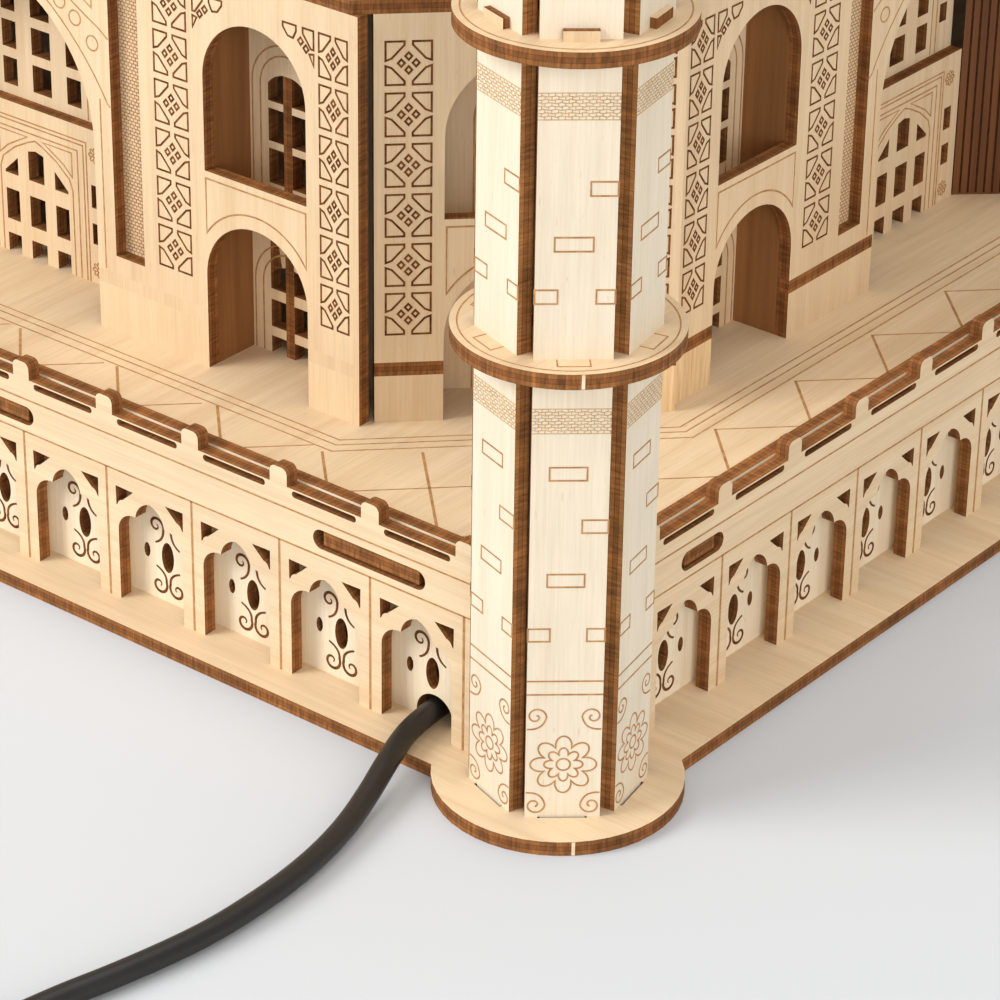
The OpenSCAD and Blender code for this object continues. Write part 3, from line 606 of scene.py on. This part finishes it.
def engrave_arcades():
    """The lines under and over the arches' heads, and the joints between the bays."""
    lines = Lines("arcade_engraving", LINE_SOFT, width=0.27 * MM)
    for k in range(4):
        half = ARCADE_HALF[k % 2]
        plane = wall(k, ARCADE_FACE[k % 2])
        for v in (ARCADE_HEAD, RAIL_FOOT):
            lines.draw(plane, [(-half, v), (half, v)])
        for i in range(-BAYS // 2, BAYS // 2 + 1):
            lines.draw(plane, [(i, 0.0), (i, ARCADE_HEAD)], width=0.40 * MM)
    lines.finish()


def engrave_screens():
    """Four scrolls in each bay; the lead's bay has no room for the lower two."""
    lines = Lines("screen_scrolls", LINE, width=0.46 * MM)

    def swell(t):
        return 0.38 + 0.62 * math.sin(math.pi * min(1.0, 0.12 + 0.95 * t)) ** 0.8

    upper = scroll((-0.143, 0.558), (-0.05, 0.60), (-0.13, 0.73), -20, 0.09, 430)
    lower = scroll((-0.14, 0.327), (-0.015, 0.285), (-0.106, 0.148), 27, 0.093, -430)
    for k in range(4):
        plane = wall(k, ARCADE_FACE[k % 2] - SCREEN_SET)
        for centre in BAY_CENTRES:
            for path in (upper, lower):
                if k == 0 and centre == BAY_CENTRES[-1] and path is lower:
                    continue
                for sign in (1, -1):
                    lines.draw(plane, moved(mirrored(path, sign), centre), swell=swell)
    lines.finish()


# ---- minarets
TOWER = (7.8, 7.925)
CORNERS = [(sx, sy) for sx in (1, -1) for sy in (-1, 1)]
SHAFT = 0.665
PANEL_HALF = 0.3025
TURN = 49
RING_FEET = (3.97, 6.55, 9.13)


def tower_at(sx, sy, height=0.0):
    """A point on that corner's minaret axis; the height is in metres."""
    return Vector((sx * TOWER[0] * P, sy * TOWER[1] * P, height))


def panel_out(sx, sy, i):
    """The direction that a shaft's panel faces; the four shafts mirror one another."""
    angle = math.radians(60 * i - TURN)
    return Vector((sx * math.cos(angle), -sy * math.sin(angle), 0))


def shaft_planes():
    for sx, sy in CORNERS:
        for i in range(6):
            out = panel_out(sx, sy, i)
            along = Vector((-out.y, out.x, 0)) * (-sx * sy)
            yield Plane(tower_at(sx, sy, T) + out * SHAFT * P, along, out)


def flower(centre, valley, tip, petals=8, n=12):
    """An outline of round petals between the radii valley and tip."""
    path = []
    for i in range(petals * n):
        a = 2 * math.pi * i / (petals * n)
        r = valley + (tip - valley) * abs(math.cos(petals / 2 * a)) ** 0.75
        path.append((centre[0] + r * math.cos(a), centre[1] + r * math.sin(a)))
    return path


def bricks(lines, plane, rows):
    """Rows of outlined bricks; each row is its height and the spans it has."""
    for v, spans in rows:
        for u0, u1 in spans:
            left, right = max(u0, -PANEL_HALF), min(u1, PANEL_HALF)
            lines.box(plane, left, right, v - BRICK_HALF, v + BRICK_HALF)


BRICK_HALF = 0.057
BRICK_EDGES = [(-0.40, -0.13), (0.16, 0.40)]
BRICK_LEFT = [(-0.16, 0.13)]
BRICK_RIGHT = [(0.10, 0.40)]
BRICK_ROWS = [
    (1.69, BRICK_EDGES), (2.18, BRICK_LEFT), (2.66, BRICK_RIGHT), (3.12, BRICK_LEFT),
    (4.62, BRICK_EDGES), (5.05, BRICK_LEFT), (5.50, BRICK_RIGHT),
    (7.1, BRICK_LEFT), (7.55, BRICK_EDGES), (8.0, BRICK_LEFT), (8.4, BRICK_RIGHT)]


def net_band(lines, plane, v0, v1, rows=8, pitch=0.05):
    """A band of fine wavy staggered bricks between two lines."""
    step = (v1 - v0) / rows
    bends = 9
    for i in range(rows + 1):
        wave = 0.006 if 0 < i < rows else 0.0
        v = v0 + i * step
        lines.draw(plane, [(PANEL_HALF * (j / bends - 1), v + wave * math.sin(2.3 * j + 1.7 * i))
                           for j in range(2 * bends + 1)])
    for i in range(rows):
        u = -PANEL_HALF + (pitch / 2 if i % 2 else pitch)
        while u < PANEL_HALF:
            lines.draw(plane, [(u, v0 + i * step), (u, v0 + (i + 1) * step)])
            u += pitch


def engrave_shafts():
    """On every panel: a flower with four scrolls at the foot, bricks, and a band under each ring."""
    lines = Lines("minaret_engraving", LINE_SOFT, width=0.24 * MM)
    net = Lines("minaret_net_bands", LINE_FAINT, width=0.14 * MM)
    top = scroll((-0.295, 0.825), (-0.165, 0.815), (-0.225, 0.941), 0, 0.084, 430)
    foot = scroll((-0.295, 0.229), (-0.165, 0.239), (-0.225, 0.113), 0, 0.084, -430)
    flower_at = (0, 0.495)
    for plane in shaft_planes():
        for path in (top, foot):
            for sign in (1, -1):
                lines.draw(plane, mirrored(path, sign))
        lines.draw(plane, flower(flower_at, 0.165, 0.265), closed=True)
        lines.draw(plane, flower(flower_at, 0.095, 0.155), closed=True)
        lines.draw(plane, arc(*flower_at, 0.055, 0, 345, 15), closed=True)
        for v in (1.146, 1.269):
            lines.draw(plane, [(-PANEL_HALF, v), (PANEL_HALF, v)])
        bricks(lines, plane, BRICK_ROWS)
        for ring in RING_FEET:
            net_band(net, plane, ring - 0.50, ring - 0.29)
    lines.finish()
    net.finish()


def engrave_rings():
    """The line round each balcony, and the outlines of the tabs in the lowest one."""
    lines = Lines("balcony_engraving", LINE_SOFT, width=0.2 * MM)
    for sx, sy in CORNERS:
        tops = [Plane(tower_at(sx, sy, 2 * T + ring * P), (1, 0, 0), (0, 0, 1), (0, 1, 0))
                for ring in RING_FEET]
        for top in tops:
            lines.draw(top, arc(0, 0, 0.86, 0, 356.25, 95), closed=True)
        for i in range(6):
            out = panel_out(sx, sy, i).to_2d()
            side = Vector((-out.y, out.x)) * 0.125
            near, far = out * (SHAFT + 0.005), out * (SHAFT + 0.12)
            lines.draw(tops[0], [near - side, far - side, far + side, near + side])
    lines.finish()


# ---- hall
# Faces of the front and back walls, of the left and right ones, and of the chamfers; how far
# the niches go in; the deck's top; the niches' and their windows' middles; and the widest that
# a cut edge is, in metres
HALL = (6.535, 6.31)
HALL_DIAG = 7.722
SIDE_SET = 0.6
FLOOR = 1.5
NICHE_U = 3.30
NARROW = 1.2 * T
WINDOW_U = 3.15


def dress_niches():
    """The window walls behind the niches get a face, and the niches' side sheets, which stand
    square to the hall's walls, get a dark brown that is painted shade. Narrow polygons are cut edges."""
    reach = (HALL[0] * P, HALL_DIAG * P, HALL[1] * P, HALL_DIAG * P)
    sides = [(turned((0, -1, 0), 45 * k), reach[k % 4]) for k in range(8)]
    mesh = nodes["niche_window_walls"].data
    mesh.materials.clear()
    # the third material is the painted shade of the niches' side sheets
    for material in (FACE, EDGE, NICHE_SIDE_SHADE):
        mesh.materials.append(material)
    uv = (mesh.uv_layers.active or mesh.uv_layers.new(name="sheet")).data
    for polygon in mesh.polygons:
        corners = [mesh.vertices[v].co for v in polygon.vertices]
        normal = polygon.normal
        centre = polygon.center
        out = max(sides, key=lambda s: centre.dot(s[0]) - s[1])[0]
        side = Vector((0, 0, 1)).cross(normal) if abs(normal.z) < 0.5 else out
        side = side.normalized()
        spread = [c.dot(side) for c in corners]
        narrow = abs(normal.z) > 0.5 or max(spread) - min(spread) < NARROW
        # square-on polygons get the face, and the side sheets get the painted shade colour
        square_on = abs(normal.dot(out)) > 0.9
        polygon.material_index = ON_EDGE if narrow else (ON_FACE if square_on else OTHER)
        for loop, c in zip(polygon.loop_indices, corners):
            if narrow:
                uv[loop].uv = (c.z, c.dot(side) - min(spread))
            else:
                uv[loop].uv = (c.dot(side), c.z)


def corner_piece(w, h):
    """One corner of a motif: a five-sided piece whose slant faces the middle."""
    return [(-0.5 * w, 0.5 * h), (-0.09 * w, 0.5 * h), (-0.09 * w, 0.42 * h),
            (-0.37 * w, 0.11 * h), (-0.5 * w, 0.06 * h)]


def diamond(u, v, a, b):
    return [(u + a, v), (u, v + b), (u - a, v), (u, v - b)]


def motif(lines, plane, u, v, w, h):
    """Four corner pieces round four small diamonds."""
    for su in (1, -1):
        for sv in (1, -1):
            piece = [(u + su * a, v + sv * b) for a, b in corner_piece(w, h)]
            lines.draw(plane, piece, closed=True)
    for du, dv in ((0.16, 0), (-0.16, 0), (0, 0.16), (0, -0.16)):
        lines.draw(plane, diamond(u + du * w, v + dv * h, 0.075 * w, 0.085 * h), closed=True)


def motif_column(lines, plane, u, w, h=0.387, pitch=0.463, bottom=2.35, cells=6):
    for i in range(cells):
        motif(lines, plane, u, bottom + h / 2 + i * pitch, w, h)


def arch_scraps(lines, plane, u, sign):
    """The broken motif beside an upper arch's head."""
    scraps = [
        [(0.347, 5.05), (0.495, 5.05), (0.495, 5.0), (0.46, 4.93), (0.40, 4.94), (0.347, 5.01)],
        [(0.57, 5.05), (0.69, 5.05), (0.69, 4.88), (0.66, 4.88), (0.57, 5.0)],
        diamond(0.545, 4.925, 0.03, 0.034), diamond(0.605, 4.87, 0.03, 0.034),
        [(0.69, 4.84), (0.69, 4.73), (0.64, 4.83)]]
    for scrap in scraps:
        lines.draw(plane, moved(mirrored(scrap, sign), u), closed=True)


def spandrel_frame(lines, plane, u, half, arc_centre, arc_r):
    """The outlined field between a lower and an upper niche."""
    top = 3.35
    reach = math.degrees(math.acos(half / arc_r))
    crown = arc(u, arc_centre, arc_r, reach, 180 - reach, 24)
    lines.draw(plane, [(u + half, top)] + crown + [(u - half, top)], closed=True)


def window_lines(lines, plane, u):
    """Two arched outlines round each window behind a niche, from its foot z up."""
    for z, spring in ((FLOOR, 2.19), (3.05, 4.09)):
        for r in (0.41, 0.315):
            lines.draw(plane, [(u + r, z)] + arc(u, spring, r, 0, 180, 20) + [(u - r, z)])


def engrave_hall():
    """The motif columns beside the niches, the fields between them and the window outlines."""
    lines = Lines("hall_motifs", LINE, width=0.31 * MM)
    soft = Lines("hall_outlines", LINE_SOFT, width=0.27 * MM)
    for k in range(4):
        plane = wall(k, HALL[k % 2])
        behind = wall(k, HALL[k % 2] - SIDE_SET)
        for sign in (1, -1):
            motif_column(lines, plane, sign * 2.3325, 0.385)
            motif_column(lines, plane, sign * 4.204, 0.312)
            for side in (1, -1):
                arch_scraps(lines, plane, sign * NICHE_U, side)
            spandrel_frame(soft, plane, sign * NICHE_U, 0.58, 2.45, 0.69)
            window_lines(soft, behind, sign * WINDOW_U)
        corner = chamfer(k, HALL_DIAG)
        for sign in (1, -1):
            motif_column(lines, corner, sign * 1.027, 0.387)
        spandrel_frame(soft, corner, 0, 0.70, 2.29, 0.82)
        window_lines(soft, chamfer(k, HALL_DIAG - SIDE_SET), 0)
    lines.finish()
    soft.finish()


def portal_front(lines, plane, sign):
    """Half of a great portal's frame: the arch's line, the spandrel's edge and its beads."""
    angles = [math.radians(30 + 3.0 * i) for i in range(15)]
    arch = [(-0.818 + 2.745 * math.cos(a), 2.35 + 2.745 * math.sin(a)) for a in angles]
    inner = [(1.59, 3.70)] + [q for q in arch if q[0] >= -1e-3]
    outer = [(1.586, 4.343), (1.478, 4.42), (1.337, 4.495), (1.155, 4.599), (0.8, 4.79),
             (0.4, 4.98), (0.0, 5.15)]
    jamb = [(1.465, 2.1), (1.465, 3.75)]
    for path in (inner, outer, jamb):
        lines.draw(plane, mirrored(path, sign))
    beads = [(1.394, 4.258), (1.192, 4.444), (1.007, 4.561), (0.78, 4.68), (0.55, 4.80),
             (0.30, 4.92)]
    for u, v in beads:
        lines.draw(plane, mirrored(arc(u, v, 0.07, 0, 337.5, 15), sign), closed=True)
    corner = [(1.40, 4.592), (1.40, 5.2), (0.35, 5.2)]
    lines.draw(plane, mirrored(corner, sign), closed=True)


def portal_door(lines, door):
    """The frames over the portal's doors, the fields beside their heads and the rosettes."""
    for half, top in ((0.545, 1.29), (0.62, 1.36), (0.66, 1.40)):
        foot, head = FLOOR, FLOOR + top
        lines.draw(door, [(half, foot), (half, head), (-half, head), (-half, foot)])
    leaf = [(0.47, 0.0), (0.47, 0.86), (0.43, 0.97), (0.27, 1.1), (0.1, 1.19), (0.0, 1.23)]
    field = [(0.10, 1.245), (0.47, 1.245), (0.47, 1.0), (0.36, 1.1), (0.22, 1.18)]
    for sign in (1, -1):
        lines.draw(door, moved(mirrored(leaf, sign), 0, FLOOR))
        lines.draw(door, moved(mirrored(field, sign), 0, FLOOR), closed=True)
        for v in (0.14, 1.30):
            centre = (0.77 * sign, FLOOR + v)
            lines.draw(door, flower(centre, 0.035, 0.075), closed=True)
            lines.draw(door, arc(*centre, 0.02, 0, 330, 11), closed=True)


def portal_window(lines, window):
    """Two pointed outlines round the portal's upper window."""
    sill, spring, point = 3.06, 4.1, 4.85
    for half in (0.58, 0.66):
        right = bend((half, spring), (half * 0.8, 4.6), (0, point))
        left = bend((0, point), (-half * 0.8, 4.6), (-half, spring))
        lines.draw(window, [(half, sill)] + right + left[1:] + [(-half, sill)])


def engrave_portals():
    lines = Lines("portal_outlines", LINE_SOFT, width=0.24 * MM)
    for k in range(4):
        face = HALL[k % 2]
        for sign in (1, -1):
            portal_front(lines, wall(k, face), sign)
        portal_door(lines, wall(k, face - SIDE_SET))
        portal_window(lines, wall(k, face - SIDE_SET - T / P))
    lines.finish()


def engrave_reveals():
    """The upright saw-like cuts on the portals' reveals."""
    lines = Lines("reveal_kerfs", KERF, width=0.35 * MM)
    for k in range(4):
        front = wall(k, HALL[k % 2])
        for sign in (1, -1):
            a = front.at(1.4 * sign, FLOOR, -0.135 * P)
            b = front.at(0.97 * sign, FLOOR, -0.6 * P)
            along = (b - a).normalized()
            out = Vector((0, 0, 1)).cross(along) * sign
            face = Plane(a, along, out if out.dot(front.out) > 0 else -out)
            for i in range(1, 8):
                lines.draw(face, [(0.08 * i, 0.02), (0.08 * i, 3.78)])
    lines.finish()


def engrave_nibs():
    """Small pale marks on the burnt rims, where each round sheet was held in its stock."""
    lines = Lines("rim_nibs", NIB, width=0.45 * MM)
    gap = 0.004
    for sx, sy in CORNERS:
        out = Vector((sx, sy, 0)).normalized()
        along = Vector((-out.y, out.x, 0))
        for radius, z in ((1.04, 0.0), (0.92, T + RING_FEET[0] * P)):
            rim = Plane(tower_at(sx, sy, z) + out * radius * P, along, out)
            lines.draw(rim, [(0, gap), (0, T / P - gap)])
    lines.finish()


def engrave_slots():
    """Fine brickwork on the backing sheets in the tall slots."""
    lines = Lines("slot_brickwork", LINE_SOFT, width=0.13 * MM)
    bottom, top, rows = 2.26, 5.0, 84
    left, right, pitch, margin = 1.6, 1.948, 0.045, 0.01
    step = (top - bottom) / rows
    for k in range(4):
        plane = wall(k, HALL[k % 2] - T / P)
        for sign in (1, -1):
            for i in range(rows + 1):
                v = bottom + i * step
                lines.draw(plane, mirrored([(left, v), (right, v)], sign))
                for j in range(8):
                    u = left + margin + pitch * j + (pitch / 2 if i % 2 else 0.0)
                    if i < rows and u < right:
                        lines.draw(plane, mirrored([(u, v), (u, v + step)], sign))
    lines.finish()


# ---- deck
PAVING_GAP = 0.5
TILE_PITCH = 1.215


def clip_outside(start, end, inside, steps=240):
    """The parts of a segment where inside(u, v) is false, found by small steps."""
    runs, current = [], []
    for i in range(steps + 1):
        u = start[0] + (end[0] - start[0]) * i / steps
        v = start[1] + (end[1] - start[1]) * i / steps
        hidden = inside(u, v)
        if not hidden:
            current.append((u, v))
        if (hidden or i == steps) and len(current) > 1:
            runs.append((current[0], current[-1]))
        if hidden:
            current = []
    return runs


def octagon(extra):
    """The hall's outline that many bays outside its walls."""
    a, b, d = HALL[1] + extra, HALL[0] + extra, (HALL_DIAG + extra) * math.sqrt(2)
    back = [(a, d - a), (d - b, b), (b - d, b), (-a, d - a)]
    return back + [(-u, -v) for u, v in back]


def off_paving(u, v):
    """True under the hall and its border, under the rail strips and round the minarets."""
    u, v = abs(u), abs(v)
    straight = u < HALL[1] + PAVING_GAP and v < HALL[0] + PAVING_GAP
    in_hall = straight and u + v < (HALL_DIAG + PAVING_GAP) * math.sqrt(2)
    past_rails = u > 7.73 or v > 7.9
    at_tower = math.hypot(u - TOWER[0], v - TOWER[1]) < 0.80
    return in_hall or past_rails or at_tower


def engrave_deck():
    """Three lines round the hall, and paving lines that cross at a slant, one way darker."""
    lines = Lines("deck_engraving", LINE_SOFT, width=0.24 * MM)
    dark = Lines("deck_joints", LINE_SOFT, width=0.42 * MM)
    plane = Plane((0, 0, T + FLOOR * P), (1, 0, 0), (0, 0, 1), (0, 1, 0))
    for extra in (0.30, 0.39, PAVING_GAP):
        lines.draw(plane, octagon(extra), closed=True)
    half = 8
    for i in range(-14, 15):
        for kind, sign, shift in ((lines, 1, 0.5 * TILE_PITCH + 0.1), (dark, -1, -0.13)):
            c = i * TILE_PITCH + shift
            start, end = (-half, -sign * half + c), (half, sign * half + c)
            for run in clip_outside(start, end, off_paving):
                kind.draw(plane, run)
    lines.finish()
    dark.finish()


dress_niches()
engrave_arcades()
engrave_screens()
engrave_shafts()
engrave_rings()
engrave_hall()
engrave_portals()
engrave_reveals()
engrave_nibs()
engrave_slots()
engrave_deck()


# ---------------------------------------------------------------- stage and light
def add_floor():
    """A large sheet of pale paper on the table."""
    mesh = bpy.data.meshes.new("floor")
    half = 6.0
    corners = [(-half, -half, 0), (half, -half, 0), (half, half, 0), (-half, half, 0)]
    mesh.from_pydata(corners, [], [(0, 1, 2, 3)])
    floor = bpy.data.objects.new("floor", mesh)
    scene.collection.objects.link(floor)
    s = Shader("floor_paper", roughness=0.6, specular=0.2)
    tone = s.noise(s.coordinates("Object", (1.0, 1.0, 1.0)), 3.0, detail=2.0)
    colour = s.ramp(tone, [(0.3, (0.56, 0.58, 0.605)), (0.7, (0.575, 0.595, 0.62))])
    s.link(colour, s.bsdf.inputs["Base Color"])
    mesh.materials.append(s.material)


def add_light(name, place, target, size, power, colour):
    data = bpy.data.lights.new(name, "AREA")
    data.shape = "DISK"
    data.size = size
    data.energy = power
    data.color = colour
    light = bpy.data.objects.new(name, data)
    light.location = place
    light.rotation_euler = (Vector(target) - Vector(place)).to_track_quat("-Z", "Y").to_euler()
    scene.collection.objects.link(light)


def add_studio():
    """Soft light from the front left, from above and, weaker, from the front right."""
    world = bpy.data.worlds.new("studio")
    world.use_nodes = True
    background = world.node_tree.nodes["Background"]
    background.inputs["Color"].default_value = (1.0, 0.965, 0.92, 1.0)
    background.inputs["Strength"].default_value = 0.50
    scene.world = world
    middle = (0.05, -0.05, 0.05)
    add_light("key", (-0.75, -1.2, 0.95), middle, 0.9, 24.0, (1.0, 0.99, 0.98))
    add_light("top", (0.2, 0.1, 1.6), middle, 1.4, 9.5, (1.0, 0.99, 0.98))
    add_light("fill", (1.2, -0.9, 0.5), middle, 1.1, 11.0, (1.0, 0.985, 0.97))
    scene.view_settings.view_transform = "Standard"


add_floor()
add_studio()
